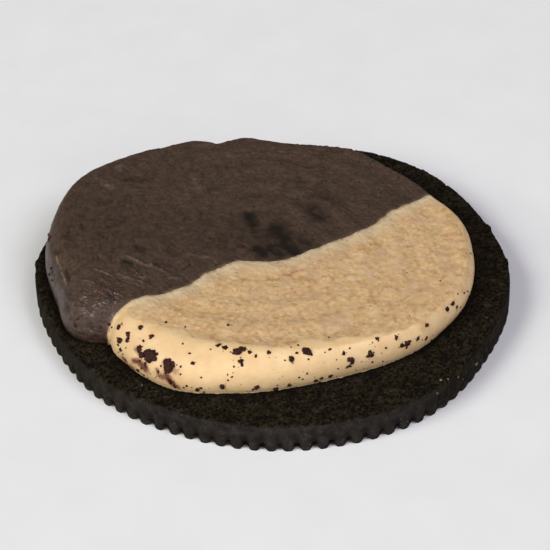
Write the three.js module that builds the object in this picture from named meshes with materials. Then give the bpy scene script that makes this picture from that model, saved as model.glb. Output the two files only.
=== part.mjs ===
// Half of an opened sandwich biscuit: one round cocoa wafer that lies on its ridged face,
// with the disc of creme still on its flat inner face. The creme is in two colours, which
// meet along a wavy border. Millimetres, +Z up. The origin is on the ground, under the
// middle of the wafer's box.

import * as THREE from 'three';

const DEGREE = Math.PI / 180;
const TURN = 2 * Math.PI;

// Driving dimensions. Angles are in degrees, anticlockwise from +X.

const wafer = {
  radius: 22.73,
  thickness: 3.0,
  centre: [0.5, 0],
  edgeRound: 0.45,
  wallTop: 2.35,
  wallFoot: 0.85,
};

// How the wafer's edge strays from a circle: [waves round the edge, size, crest].
const waferWaves = [
  [1, 0.09, 130],
  [2, 0.1, -9],
  [3, 0.54, 52],
  [4, 0.23, -14],
  [5, 0.16, 13],
  [6, 0.12, -11],
  [7, 0.07, 2],
  [8, 0.07, -5],
];

const ridges = {
  count: 90,
  stepsEach: 6,
  phase: -64.5,
  reach: 1.9,
  grooveHeight: 0.4,
  grooveDepth: 0.2,
  groovePower: 1.7,
  fluteDepthTop: 0.05,
  fluteDepthFoot: 0.14,
};

// Where the ridges are worn: [place, half width in degrees, share of their depth lost].
const wornRidges = [
  [190, 38, 0.5],
  [-4, 33, 0.85],
  [-40, 14, 0.4],
];

// The pressed pattern of the underside, from the ridges inwards.
const underside = {
  landWidth: 0.8,
  slope: 0.4,
  fieldHeight: 0.5,
  beadRadius: 12.6,
  beadWidth: 1.8,
  beadHeight: 0.12,
  scallops: 12,
  scallopDepth: 0.9,
  bossRadius: 5.0,
};

const creme = {
  centre: [-1.3, 0],
  radius: 19.43,
  thickness: 3.4,
  tilt: -0.042,
  bulge: 0.28,
  shoulderPower: 2.1,
};

// How the creme's edge strays from a circle: [waves round the disc, size, crest].
const cremeWaves = [
  [1, 1.17, 128],
  [2, 1.15, -11],
  [3, 0.52, 13],
  [4, 0.28, -20],
];

// Lobes and dents of the creme's edge: [place, half width in degrees, rise].
const cremeLobes = [
  [-157, 8, 0.9],
  [-145.5, 4, -1.15],
  [-138, 7, -0.5],
  [-116, 10, 0.5],
  [-43, 24, 0.62],
  [-30, 8, -0.2],
  [9, 5, 0.15],
  [16, 6, 0.3],
  [28, 6, -0.2],
  [61, 11.5, 0.88],
  [87, 3, 0.15],
  [94, 5, 0.5],
  [103, 3, -0.4],
  [111, 3, 0.2],
  [120, 3, -0.25],
  [146, 8, 0.25],
  [165, 9, -0.2],
];

// How far the rounded shoulder reaches in over the top: [place, half width, rise].
const shoulder = {
  width: 0.55,
  lobes: [
    [-122, 38, 2.9],
    [-160, 22, 1.2],
    [178, 30, 0.8],
    [110, 60, 0.35],
  ],
};

// The line where the two colours meet. Its tongues are [share of the way, half width, size].
const border = {
  start: -145.5,
  end: 27.8,
  waves: [-1.21, 0.7, 0.12, -0.37, -0.09, 0.08, 0.32, 0.13],
  tongues: [
    [0.398, 0.028, 0.55],
    [0.85, 0.025, 0.3],
  ],
  creaseDepth: 0.5,
  creaseWidth: 1.0,
  creaseLength: 2.0,
};

// Twist marks: low curved furrows round the middle of the disc.
const furrows = {
  spacing: 3.1,
  depth: 0.06,
  drift: 1.3,
};

const CIRCLE_STEPS = 192;
const FIELD_STEPS = 96;
const BOSS_STEPS = 24;
const BORDER_STEPS = 60;
const TOP_STEPS = 9;
const SHOULDER_STEPS = 6;

// Helpers for closed solids: points, and triangles that name them by index.

function newSolid() {
  return { points: [], triangles: [] };
}

function addPoint(solid, x, y, z) {
  solid.points.push(x + wafer.centre[0], y + wafer.centre[1], z);
  return solid.points.length / 3 - 1;
}

function addTriangle(solid, a, b, c, flip = false) {
  if (a === b || b === c || c === a) return;
  if (flip) solid.triangles.push(a, c, b);
  else solid.triangles.push(a, b, c);
}

function addQuad(solid, a, b, c, d, flip = false) {
  addTriangle(solid, a, b, c, flip);
  addTriangle(solid, a, c, d, flip);
}

// A ring of points round the wafer's middle, anticlockwise.
function addRing(solid, count, radiusAt, heightAt) {
  const ring = [];
  for (let i = 0; i < count; i++) {
    const angle = ringAngle(i, count);
    const radius = radiusAt(angle);
    ring.push(addPoint(solid, radius * Math.cos(angle), radius * Math.sin(angle), heightAt(angle)));
  }
  return ring;
}

function ringAngle(i, count) {
  return ridges.phase * DEGREE + (i / count) * TURN;
}

// Joins two rings, which may have different numbers of points. The second ring is the
// next one on the way from the underside's middle, round the edge, to the top's middle.
function addBand(solid, first, second) {
  let i = 0;
  let j = 0;
  while (i < first.length || j < second.length) {
    const a = first[i % first.length];
    const b = second[j % second.length];
    const firstIsNext = (i + 1) * second.length <= (j + 1) * first.length;
    if (firstIsNext) {
      addTriangle(solid, a, first[(i + 1) % first.length], b);
      i += 1;
    } else {
      addTriangle(solid, a, second[(j + 1) % second.length], b);
      j += 1;
    }
  }
}

// Fills a flat ring of 3, 6, 12, 24 … points by cutting off every other corner until
// one large triangle is left in the middle.
function fillRing(solid, ring, flip) {
  let corners = ring;
  while (corners.length > 3) {
    const kept = [];
    for (let i = 0; i < corners.length; i += 2) {
      addTriangle(solid, corners[i], corners[i + 1], corners[(i + 2) % corners.length], flip);
      kept.push(corners[i]);
    }
    corners = kept;
  }
  addTriangle(solid, ...corners, flip);
}

function toMesh(solid, name, material) {
  const geometry = new THREE.BufferGeometry();
  geometry.setAttribute('position', new THREE.Float32BufferAttribute(solid.points, 3));
  geometry.setIndex(solid.triangles);
  geometry.computeVertexNormals();
  const mesh = new THREE.Mesh(geometry, material);
  mesh.name = name;
  return mesh;
}

// Even waves round a circle, each with its own number of crests.
function waves(angle, list) {
  let sum = 0;
  for (const [crests, size, place] of list) {
    sum += size * Math.cos(crests * (angle - place * DEGREE));
  }
  return sum;
}

// Smooth hills round a circle: the sum of bell curves, each at its own place.
function hills(angle, list) {
  let sum = 0;
  for (const [place, halfWidth, rise] of list) {
    const away = ((((angle / DEGREE - place) % 360) + 540) % 360) - 180;
    sum += rise * Math.exp(-((away / halfWidth) ** 2));
  }
  return sum;
}

// The wafer.

// The edge is out of round, and the rings inside it are so in proportion.
function waferRadius(angle, radius = wafer.radius) {
  return radius * (1 + waves(angle, waferWaves) / wafer.radius);
}

// 0 on the crest of a ridge and 1 at the bottom of an unworn groove.
function grooveShare(angle) {
  const even = (1 - Math.cos(ridges.count * (angle - ridges.phase * DEGREE))) / 2;
  return (1 - hills(angle, wornRidges)) * even ** ridges.groovePower;
}

function addLevelRing(solid, count, radius, height) {
  return addRing(solid, count, (angle) => waferRadius(angle, radius), () => height);
}

function addRidgedRing(solid, depth, heightAt) {
  const count = ridges.count * ridges.stepsEach;
  return addRing(solid, count, (angle) => waferRadius(angle) - depth * grooveShare(angle), heightAt);
}

// One ring of the bead that winds in and out round the underside.
function addScallopedRing(solid, offset, height) {
  const { beadRadius, scallops, scallopDepth } = underside;
  const radiusAt = (angle) =>
    waferRadius(angle, beadRadius + offset + scallopDepth * Math.cos(scallops * angle));
  return addRing(solid, FIELD_STEPS, radiusAt, () => height);
}

// Rings of the underside, from the middle out: the boss, the sunk field with its bead,
// and the flat land inside the ridges.
function undersideRings(solid) {
  const { landWidth, slope, fieldHeight, beadWidth, beadHeight, bossRadius } = underside;
  const landOuter = wafer.radius - ridges.reach;
  const landInner = landOuter - landWidth;
  return [
    addLevelRing(solid, BOSS_STEPS, bossRadius, 0),
    addLevelRing(solid, FIELD_STEPS, bossRadius + slope, fieldHeight),
    addScallopedRing(solid, -beadWidth / 2, fieldHeight),
    addScallopedRing(solid, 0, beadHeight),
    addScallopedRing(solid, beadWidth / 2, fieldHeight),
    addLevelRing(solid, FIELD_STEPS, landInner - slope, fieldHeight),
    addLevelRing(solid, CIRCLE_STEPS, landInner, 0),
    addLevelRing(solid, CIRCLE_STEPS, landOuter, 0),
  ];
}

function edgeRings(solid) {
  const { edgeRound, wallTop, wallFoot, radius, thickness } = wafer;
  const grooveTop = (angle) => ridges.grooveHeight * grooveShare(angle);
  return [
    addRidgedRing(solid, ridges.grooveDepth, grooveTop),
    addRidgedRing(solid, ridges.fluteDepthFoot, () => wallFoot),
    addRidgedRing(solid, ridges.fluteDepthTop, () => wallTop),
    addLevelRing(solid, CIRCLE_STEPS, radius - 0.3 * edgeRound, thickness - 0.3 * edgeRound),
    addLevelRing(solid, CIRCLE_STEPS, radius - edgeRound, thickness),
  ];
}

function waferSolid() {
  const solid = newSolid();
  const rings = [...undersideRings(solid), ...edgeRings(solid)];
  fillRing(solid, rings[0], true);
  for (let i = 1; i < rings.length; i++) addBand(solid, rings[i - 1], rings[i]);
  fillRing(solid, rings[rings.length - 1], false);
  return solid;
}

// The creme. Its two halves share the border's points, so that they meet face to face.

function cremeRadius(angle) {
  return creme.radius + waves(angle, cremeWaves) + hills(angle, cremeLobes);
}

function edgePoint(degrees) {
  const angle = degrees * DEGREE;
  const radius = cremeRadius(angle);
  return new THREE.Vector2(
    creme.centre[0] + radius * Math.cos(angle),
    creme.centre[1] + radius * Math.sin(angle),
  );
}

const borderStart = edgePoint(border.start);
const borderEnd = edgePoint(border.end);
const borderDirection = borderEnd.clone().sub(borderStart).normalize();

function borderPoint(share) {
  const point = borderStart.clone().lerp(borderEnd, share);
  let sideways = 0;
  border.waves.forEach((size, i) => {
    sideways += size * Math.sin((i + 1) * Math.PI * share);
  });
  for (const [place, halfWidth, size] of border.tongues) {
    sideways += size * Math.exp(-(((share - place) / halfWidth) ** 2));
  }
  point.x -= sideways * borderDirection.y;
  point.y += sideways * borderDirection.x;
  return point;
}

function topRelief(x, y, radius) {
  const turn = Math.atan2(y, x);
  return furrows.depth * Math.sin((TURN * radius) / furrows.spacing + furrows.drift * Math.sin(3 * turn));
}

// The valley where the two rounded lobes meet at the border's start.
function creaseAt(x, y) {
  const along = (x - borderStart.x) * borderDirection.x + (y - borderStart.y) * borderDirection.y;
  const share = THREE.MathUtils.clamp(along / borderStart.distanceTo(borderEnd), 0, 1);
  const aside = borderPoint(share).distanceTo(new THREE.Vector2(x, y));
  const fade = Math.exp(-((along / border.creaseLength) ** 2));
  return border.creaseDepth * fade * Math.exp(-((aside / border.creaseWidth) ** 2));
}

function cremePoint(solid, x, y) {
  const dx = x - creme.centre[0];
  const dy = y - creme.centre[1];
  const radius = Math.hypot(dx, dy);
  const angle = Math.atan2(dy, dx);
  const inset = Math.max(0, cremeRadius(angle) - radius);
  const width = shoulder.width + hills(angle, shoulder.lobes);
  const inward = Math.min(1, inset / width);
  const power = creme.shoulderPower;
  const rise = (1 - (1 - inward) ** power) ** (1 / power);
  const full = creme.thickness + creme.tilt * x + topRelief(dx, dy, radius) - creaseAt(x, y);
  const bulge = (creme.bulge * Math.sin(Math.PI * rise)) / radius;
  return addPoint(solid, x + dx * bulge, y + dy * bulge, wafer.thickness + full * rise);
}

// Shares of the way from the border (0) to the edge (1), close together on the shoulder.
function outwardShares(length, angle) {
  const width = shoulder.width + hills(angle, shoulder.lobes);
  const shoulderShare = Math.min(0.75, width / Math.max(length, 1e-9));
  const shares = [];
  for (let i = 0; i <= TOP_STEPS; i++) {
    shares.push((1 - shoulderShare) * (i / TOP_STEPS));
  }
  for (let i = SHOULDER_STEPS - 1; i > 0; i--) {
    const inward = 1 - Math.cos((i / SHOULDER_STEPS) * (Math.PI / 2));
    shares.push(1 - shoulderShare * inward);
  }
  return shares;
}

// One column of points, from the border to the edge, at one place along the border.
function cremeColumn(solid, share, degrees) {
  const inner = borderPoint(share);
  const outer = edgePoint(degrees);
  const column = outwardShares(inner.distanceTo(outer), degrees * DEGREE).map((outward) => {
    const point = inner.clone().lerp(outer, outward);
    return cremePoint(solid, point.x, point.y);
  });
  const foot = addPoint(solid, inner.x, inner.y, wafer.thickness);
  column.push(addPoint(solid, outer.x, outer.y, wafer.thickness));
  return { column, foot };
}

function endColumn(solid, point) {
  const foot = addPoint(solid, point.x, point.y, wafer.thickness);
  const column = new Array(TOP_STEPS + SHOULDER_STEPS + 1).fill(foot);
  return { column, foot };
}

// The half whose edge runs from the border's start to `endDegrees`.
function cremeSolid(endDegrees) {
  const solid = newSolid();
  const flip = endDegrees < border.start;
  const columns = [endColumn(solid, borderStart)];
  for (let i = 1; i < BORDER_STEPS; i++) {
    const share = (1 - Math.cos((i / BORDER_STEPS) * Math.PI)) / 2;
    columns.push(cremeColumn(solid, share, THREE.MathUtils.lerp(border.start, endDegrees, share)));
  }
  columns.push(endColumn(solid, borderEnd));
  for (let i = 1; i < columns.length; i++) {
    joinColumns(solid, columns[i - 1], columns[i], flip);
  }
  return solid;
}

function joinColumns(solid, before, after, flip) {
  const last = before.column.length - 1;
  for (let k = 0; k < last; k++) {
    addQuad(
      solid,
      before.column[k],
      before.column[k + 1],
      after.column[k + 1],
      after.column[k],
      flip,
    );
  }
  addQuad(solid, before.column[last], before.foot, after.foot, after.column[last], flip);
  addTriangle(solid, before.foot, before.column[0], after.column[0], flip);
  addTriangle(solid, before.foot, after.column[0], after.foot, flip);
}

// Materials and the finished group.

const cocoaWafer = new THREE.MeshStandardMaterial({ color: 0x241c16, roughness: 0.9, metalness: 0 });
const chocolateCreme = new THREE.MeshStandardMaterial({ color: 0x4a3d34, roughness: 0.7, metalness: 0 });
const nutCreme = new THREE.MeshStandardMaterial({ color: 0xd9b98a, roughness: 0.6, metalness: 0 });

const cookieHalf = new THREE.Group();
cookieHalf.add(toMesh(waferSolid(), 'wafer', cocoaWafer));
cookieHalf.add(toMesh(cremeSolid(border.end - 360), 'creme_chocolate', chocolateCreme));
cookieHalf.add(toMesh(cremeSolid(border.end), 'creme_peanut_butter', nutCreme));

export default cookieHalf;
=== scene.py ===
"""Half of an opened sandwich biscuit: a ridged cocoa wafer with creme in two colours and crumbs.

Shapes are worked out in millimetres from the wafer's own middle, from the same named sizes as
the CAD source; make_mesh and the camera turn them into the frame's metres. Places named round a
circle are in degrees anticlockwise from +X, and arrays called angles are in radians.
"""

import itertools
import math
from dataclasses import dataclass

import bmesh
import bpy
import numpy as np
from mathutils import Matrix, Vector
from mathutils.bvhtree import BVHTree


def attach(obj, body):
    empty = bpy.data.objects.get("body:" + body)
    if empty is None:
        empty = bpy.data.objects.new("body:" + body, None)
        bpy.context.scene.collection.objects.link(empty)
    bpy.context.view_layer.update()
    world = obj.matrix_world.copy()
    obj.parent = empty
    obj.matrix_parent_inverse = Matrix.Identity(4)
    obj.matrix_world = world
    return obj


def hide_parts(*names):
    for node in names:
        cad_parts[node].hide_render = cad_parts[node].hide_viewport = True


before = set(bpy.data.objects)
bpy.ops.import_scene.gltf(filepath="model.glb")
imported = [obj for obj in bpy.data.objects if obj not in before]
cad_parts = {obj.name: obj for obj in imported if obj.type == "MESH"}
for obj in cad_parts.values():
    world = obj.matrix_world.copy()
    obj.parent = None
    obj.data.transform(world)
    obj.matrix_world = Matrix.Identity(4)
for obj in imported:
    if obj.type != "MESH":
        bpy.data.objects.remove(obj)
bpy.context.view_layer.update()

MM = 0.001
DEGREE = math.pi / 180
TURN = 2 * math.pi

# The wafer.

WAFER_CENTRE = np.array((0.5, 0.0, 0.0))
WAFER_RADIUS = 22.73
WAFER_TOP = 3.0
EDGE_ROUND = 0.45
WALL_FOOT = 0.85
WALL_TOP = 2.35
WAFER_WAVES = (  # crests, size, place
    (1, 0.09, 130), (2, 0.1, -9), (3, 0.54, 52), (4, 0.23, -14),
    (5, 0.16, 13), (6, 0.12, -11), (7, 0.07, 2), (8, 0.07, -5),
)

RIDGES = 90
RIDGE_PHASE = -64.5
RIDGE_REACH = 1.9
GROOVE_HEIGHT = 0.4
GROOVE_DEPTH = 0.2
GROOVE_POWER = 1.7
GROOVE_HOLE = 0.6
FLUTE_DEPTH_FOOT = 0.14
FLUTE_DEPTH_TOP = 0.05
WORN_RIDGES = ((190, 38, 0.5), (-4, 33, 0.85), (-40, 14, 0.4))  # place, half width, share lost

FIELD_HEIGHT = 0.5
LAND_WIDTH = 0.8
FIELD_SLOPE = 0.4
BOSS_RADIUS = 5.0
BEAD_RADIUS = 12.6
BEAD_WIDTH = 1.8
BEAD_HEIGHT = 0.12
SCALLOPS = 12
SCALLOP_DEPTH = 0.9
STUD_RADIUS = 0.75
STUD_HEIGHT = 0.22
OUTER_STUDS = 16.4
INNER_STUDS = 8.8

# The creme.

CREME_CENTRE = np.array((-1.3, 0.0))
CREME_RADIUS = 19.43
CREME_THICKNESS = 3.4
CREME_TILT = -0.042
CREME_BULGE = 0.28
SHOULDER_POWER = 2.1
CREME_SINK = 0.12
CREME_WAVES = ((1, 1.17, 128), (2, 1.15, -11), (3, 0.52, 13), (4, 0.28, -20))
CREME_LOBES = (  # place, half width, rise
    (-157, 8, 0.9), (-145.5, 4, -1.15), (-138, 7, -0.5), (-116, 10, 0.5), (-43, 24, 0.62),
    (-30, 8, -0.2), (9, 5, 0.15), (16, 6, 0.3), (28, 6, -0.2), (61, 11.5, 0.88), (87, 3, 0.15),
    (94, 5, 0.5), (103, 3, -0.4), (111, 3, 0.2), (120, 3, -0.25), (146, 8, 0.25), (165, 9, -0.2),
)
SHOULDER_WIDTH = 0.55
SHOULDER_LOBES = ((-122, 38, 2.9), (-160, 22, 1.2), (178, 30, 0.8), (110, 60, 0.35))
SHOULDER_MOST = 0.75  # share of the way from the border to the edge

# Where the rough, torn top begins, how far in from the creme's edge, and how ragged and how
# blurred its outline is.
TORN_INSET = 0.3
TORN_LOBES = ((-124, 18, 2.2), (-100, 34, 2.3), (-66, 16, 0.8), (-156, 13, 1.0), (-178, 12, 0.3))
TORN_RAGGED = 0.6
TORN_BLUR = 0.35

BORDER_START = -145.5
BORDER_END = 27.8
BORDER_WAVES = (-1.21, 0.7, 0.12, -0.37, -0.09, 0.08, 0.32, 0.13)
BORDER_RAGGED = 0.14
BORDER_TONGUES = ((0.398, 0.028, 0.55), (0.85, 0.025, 0.3))  # share of the way, half width, size
BORDER_FADE = 0.7  # distance over which each creme's own relief sets in
MIXED_WIDTH = 0.25
PALE_WIDTH = 1.3
PALE_STRENGTH = 0.85
CREASE_DEPTH = 0.5
CREASE_WIDTH = 1.0
CREASE_LENGTH = 2.0

FURROW_SPACING = 3.1
FURROW_DEPTH = 0.06
FURROW_DRIFT = 1.3

WRINKLED_AT = (-16.9, -7.9)
WRINKLED_WIDTH = 2.7

# How far the creme's foot draws back under its side and up to what height, the height over
# which its relief sets in, and how far the painted shade round its foot reaches over the wafer.
FOOT_TUCK = 0.12
TUCK_HEIGHT = 0.4
FOOT_FADE = 0.25
CREME_SHADE_WIDTH = 0.5

# Mesh steps.

EDGE_STEPS = RIDGES * 14
FIELD_STEPS = 300
FIELD_RING_STEP = 0.3
TOP_RING_STEP = 0.16
FINE_TOP_TO = 17.2  # further in, the creme hides the wafer's top
HIDDEN_TOP_RINGS = ((16.8, 360), (14.0, 120), (7.0, 40))  # radius, steps
CREME_COLUMNS = 440
COCOA_ROWS = 170
NUT_ROWS = 150
SIDE_ROWS = 34

# Marks on the creme, by their places x, y in the camera's 550 x 550 picture, with
# sizes in millimetres.

# Gouges and welts that the twist left in the cocoa creme: from, to, half width, rise.
# Raised welts are painted paler with their rise: partly paler creme, partly painted highlight on their
# crests.
PALEST_WELT = 0.2  # rise from which a welt is as pale as it gets
SEEN_GOUGES = (
    (122, 261, 133, 266, 0.22, -0.6),
    (128, 257, 169, 273, 0.16, 0.26),
    (126, 267, 152, 279, 0.15, -0.14),
    (96, 269, 112, 275.5, 0.12, 0.2),
    (118, 274, 151, 285.5, 0.13, 0.2),
    (116, 278, 146, 289, 0.13, -0.14),
    (143, 276.5, 152, 277, 0.1, 0.2),
    (104, 288, 124, 296, 0.13, 0.18),
    (170, 277, 182, 279, 0.16, 0.16),
    (190, 254, 212, 258, 0.2, 0.14),
    (84, 279, 96, 284, 0.12, 0.16),
    (118, 172, 125, 165, 0.45, 0.22),
    (97, 180, 116, 188, 0.4, 0.16),
    (124, 177, 146, 174, 0.6, -0.2),
    (192, 173, 202, 192, 0.5, 0.1),
)

# Dark blotches of the cocoa creme, which are shallow pits: from, to, half width, strength. Some are
# painted shade: in the small holes, in the crevice beside the streak on the left shoulder, and beside
# the curl at the back left.
BLOTCH_DEPTH = 0.08
SEEN_BLOTCHES_AND_SHADE = (
    (248, 215, 253, 224, 0.7, 0.9), (253, 228, 256, 233, 0.6, 0.5), (275, 228, 286, 238, 1.1, 0.9),
    (285, 244, 296, 252, 1.0, 0.9), (258, 249, 264, 253, 0.8, 1.0), (270, 247, 279, 254, 0.9, 0.8),
    (311, 208, 319, 218, 1.0, 0.6), (262, 234, 270, 240, 1.0, 0.4), (300, 240, 308, 243, 0.8, 0.5),
    (258, 238, 298, 248, 2.4, 0.4), (318, 194, 339, 201, 1.6, 0.25), (392, 197, 397, 200, 0.8, 0.3),
    (232, 225, 237, 228, 1.0, 0.3), (222, 238, 228, 250, 1.2, 0.3), (168, 250, 172, 253, 0.5, 0.4),
    (204, 220, 208, 223, 0.8, 0.3), (116, 217, 121, 221, 0.8, 0.3), (102, 202, 106, 204, 0.8, 0.3),
    (138, 247, 143, 250, 0.6, 0.5), (155, 262, 159, 264, 0.5, 0.4), (124, 261, 131, 264, 0.25, 1.0),
    (79, 216, 84, 230, 0.8, 0.25), (126, 174, 142, 180, 1.3, 0.25), (110, 225, 235, 235, 4.5, 0.15),
    (66, 270, 69, 281, 0.2, 0.8), (55, 251, 57, 253, 0.35, 0.6), (52, 272, 54, 275, 0.35, 0.6),
    (90, 324, 92, 327, 0.3, 0.7), (65, 312, 67, 314, 0.35, 0.4), (107, 297, 111, 299, 0.4, 0.5),
)

# The streak of nut creme on the cocoa creme's left shoulder, and pale flecks near it:
# from, to, half width, strength.
SEEN_STREAK = (
    (56, 256, 58, 263, 0.16, 0.6), (59, 264, 62, 272, 0.12, 0.45), (62, 273, 66, 284, 0.12, 0.6),
    (74, 284, 76, 285, 0.1, 0.6), (134, 275, 142, 277, 0.14, 0.5), (101, 293, 104, 295, 0.1, 0.4),
)

# Reddish cocoa smears on the nut creme: from, to, half width, strength.
SEEN_SMEARS = (
    (123, 358, 126, 361, 0.4, 0.9), (125, 360, 129, 366, 0.35, 1.0), (130, 366, 134, 369, 0.35, 0.9),
    (133, 361, 138, 361, 0.4, 1.0), (136, 349, 142, 354, 0.45, 0.8), (139, 362, 145, 369, 0.6, 1.0),
    (145, 363, 148, 370, 0.4, 0.8), (153, 372, 156, 375, 0.3, 0.5), (157, 370, 160, 377, 0.35, 0.9),
    (161, 376, 168, 379, 0.5, 0.9), (166, 375, 173, 384, 0.55, 1.0), (173, 385, 178, 387, 0.4, 0.9),
    (138, 371, 142, 374, 0.35, 0.7), (165, 363, 175, 371, 0.65, 0.7), (116, 334, 160, 364, 2.4, 0.28),
    (128, 362, 176, 386, 1.3, 0.45),
    (286, 275, 290, 274, 0.45, 0.6), (292, 273, 296, 271, 0.4, 0.6), (300, 270, 303, 270, 0.4, 0.5),
    (311, 279, 316, 283, 0.45, 0.5), (293, 269, 295, 268, 0.35, 0.4), (281, 276, 284, 275, 0.3, 0.4),
    (308, 272, 314, 273, 0.4, 0.35), (277, 264, 282, 265, 0.5, 0.3), (389, 304, 391, 306, 0.35, 0.5),
    (396, 288, 398, 290, 0.4, 0.5), (446, 268, 451, 270, 0.5, 0.3), (434, 272, 437, 274, 0.4, 0.3),
    (446, 246, 449, 248, 0.45, 0.25), (410, 220, 414, 222, 0.6, 0.25), (353, 332, 358, 333, 0.4, 0.35),
)

# Dark crumbs on the creme: place and size.
SEEN_CRUMBS = (
    (119, 326, 0.55), (140.5, 328, 0.45), (166, 322.5, 0.3), (152, 336.5, 0.5), (128, 334.5, 0.5),
    (128.2, 339.7, 0.45), (119.5, 340.5, 0.55), (120.5, 350, 0.4), (126, 348, 0.2), (143.5, 341, 0.3),
    (140, 349.5, 0.6), (141, 355, 0.5), (150.2, 356.5, 1.2), (157, 354, 0.3), (161, 366, 0.2),
    (170, 366, 1.0), (165.3, 361.5, 0.4), (145, 363.5, 0.3), (138, 370.5, 0.35), (144, 375, 0.25),
    (170.7, 381.8, 0.5), (175, 386, 0.35), (186.5, 385.7, 0.25), (197.6, 389.5, 0.4), (201, 388, 0.25),
    (158.5, 371.8, 0.25), (180.5, 366.7, 0.25), (180.5, 374.3, 0.2), (189.7, 353.3, 0.25),
    (183, 343.7, 0.2), (185.3, 327, 0.2), (118.3, 345, 0.3),
    (192.6, 362.8, 0.35), (219, 345.3, 0.4), (224.7, 347.7, 0.45), (210.5, 349.3, 0.2),
    (228, 325.3, 0.3), (237.5, 351, 0.75), (241, 350, 0.6), (245.3, 348.8, 0.3),
    (250.2, 352.3, 0.42), (255.8, 356, 0.3),
    (240.4, 361.5, 0.5), (242.2, 365.3, 0.3), (234, 366.7, 0.2), (268.5, 352.6, 0.4), (291, 347.2, 0.22),
    (298, 345.3, 0.25), (307.3, 351.6, 0.8), (296.5, 353, 0.3), (291, 359.4, 0.55), (307, 373.4, 0.2),
    (299.3, 377.3, 0.2), (228, 380.4, 0.2), (232, 377, 0.2), (222.2, 386.3, 0.5), (256.8, 387.4, 0.45),
    (253, 389.5, 0.25), (276, 388.5, 0.5), (289, 385, 0.35), (322, 378, 0.35), (315.5, 380.6, 0.4),
    (331, 375.7, 0.4), (329, 337.4, 0.2), (330, 349.4, 0.3), (343.8, 353.6, 0.35), (351.2, 359.6, 0.65),
    (349, 366, 0.4), (370, 354, 0.6), (372.3, 362, 0.2), (377.2, 338.8, 0.35), (386, 348, 0.25),
    (396.8, 337.4, 0.45), (407.3, 343.5, 0.65), (401.3, 345.6, 0.4), (406.6, 347.3, 0.3),
    (417.6, 338.8, 0.38), (426.3, 338, 0.35), (427, 325.6, 0.38), (447.3, 309, 0.48), (453, 303.5, 0.48),
    (457, 307, 0.35), (464, 293, 0.3), (49.5, 239, 0.5),
)

# Pale specks on the cocoa creme and the wafer: place and size.
SEEN_SPECKS = (
    (136.5, 273.5, 0.22), (138.5, 274.5, 0.14), (135.5, 276, 0.1),
    (441, 380, 0.3), (448, 379, 0.2), (458, 377, 0.3), (463, 379, 0.2), (476, 364, 0.4),
    (437, 393, 0.2), (209, 388, 0.15), (300, 412, 0.15), (142, 385, 0.15), (90, 352, 0.15),
)

# Bumps of the wafer's rim: place, size. Each is as wide as the others.
RIM_BUMPS = ((18, 0.5), (3, 0.45), (-9, 0.5), (172, 0.55))
BUMP_HALF_WIDTH = 1.2
BUMP_RISE = 0.45  # share of its size
RIM_WIDTH = 0.55

# The camera.

PICTURE = 550
SENSOR = 36.0
FOCAL_PIXELS = 2550
CAMERA_AT = Vector((0.0, -198.34, 152.19))
CAMERA_TARGET = Vector((-0.16, 3.95, 0.0))
CAMERA_ROLL = -1.85

# The table and the lights, in metres.

TABLE_HALF = 1.5
LIGHT_DISTANCE = 2.0
LIGHTS = (  # name, azimuth, elevation, size, power, colour
    ("key", -61, 38, 1.12, 33, (1.0, 1.0, 0.94)),
    ("right", 50, 50, 0.9, 15.5, (0.9, 0.88, 0.98)),
    ("front", 18, 40, 2.0, 18, (0.9, 0.88, 0.98)),
)
ROOM_COLOUR = (0.9, 0.87, 1.0)
ROOM_STRENGTH = 0.06


# Random relief.

CORNERS = list(itertools.product((0, 1), repeat=3))
NEIGHBOURS = list(itertools.product((-1, 0, 1), repeat=3))


def lattice(seed):
    """The random order, directions and offsets that a seed stands for."""
    rng = np.random.default_rng(seed)
    directions = rng.normal(size=(256, 3))
    directions /= np.linalg.norm(directions, axis=1, keepdims=True)
    return rng.permutation(256), directions, rng.random((256, 3))


def lattice_keys(order, cells):
    keys = order[cells[:, 0] & 255]
    keys = order[(keys + cells[:, 1]) & 255]
    return order[(keys + cells[:, 2]) & 255]


def waviness(points, size, seed):
    """Smooth relief of about -1 to 1, with a bump or a dent about every `size`."""
    order, directions, _ = lattice(seed)
    place = points / size
    cells = np.floor(place).astype(int)
    local = place - cells
    fade = local ** 3 * (local * (local * 6 - 15) + 10)
    total = np.zeros(len(points))
    for corner in CORNERS:
        weight = np.prod(np.where(corner, fade, 1 - fade), axis=1)
        slope = directions[lattice_keys(order, cells + corner)]
        total += weight * np.sum(slope * (local - corner), axis=1)
    return 1.5 * total


def grains(points, size, seed):
    """Packed round grains: 1 at the middle of each, falling to 0 between them."""
    order, _, offsets = lattice(seed)
    place = points / size
    cells = np.floor(place).astype(int)
    nearest = np.full(len(points), 9.0)
    for step in NEIGHBOURS:
        there = cells + step
        middle = there + offsets[lattice_keys(order, there)]
        nearest = np.minimum(nearest, np.sum((middle - place) ** 2, axis=1))
    return np.clip(1 - nearest, 0, 1)


def roughness(points, size, seed, layers=3):
    """Waviness with finer waviness on it."""
    return sum(waviness(points, size / 2 ** i, seed + i) / 2 ** i for i in range(layers))


def smoothstep(low, high, value):
    share = np.clip((value - low) / (high - low), 0, 1)
    return share * share * (3 - 2 * share)


def lerp(first, second, share):
    return first + (second - first) * share


# Round outlines.

def waves(angles, rows):
    """Even waves round a circle: (crests, size, place of a crest)."""
    return sum(size * np.cos(crests * (angles - place * DEGREE)) for crests, size, place in rows)


def hills(angles, rows):
    """Bell curves round a circle: (place, half width, rise)."""
    total = np.zeros_like(angles)
    for place, half_width, rise in rows:
        away = (angles / DEGREE - place + 540) % 360 - 180
        total += rise * np.exp(-((away / half_width) ** 2))
    return total


def polar(angles, radius, height):
    across = np.broadcast_to(height, angles.shape)
    return np.column_stack((radius * np.cos(angles), radius * np.sin(angles), across))


# Meshes.

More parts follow.
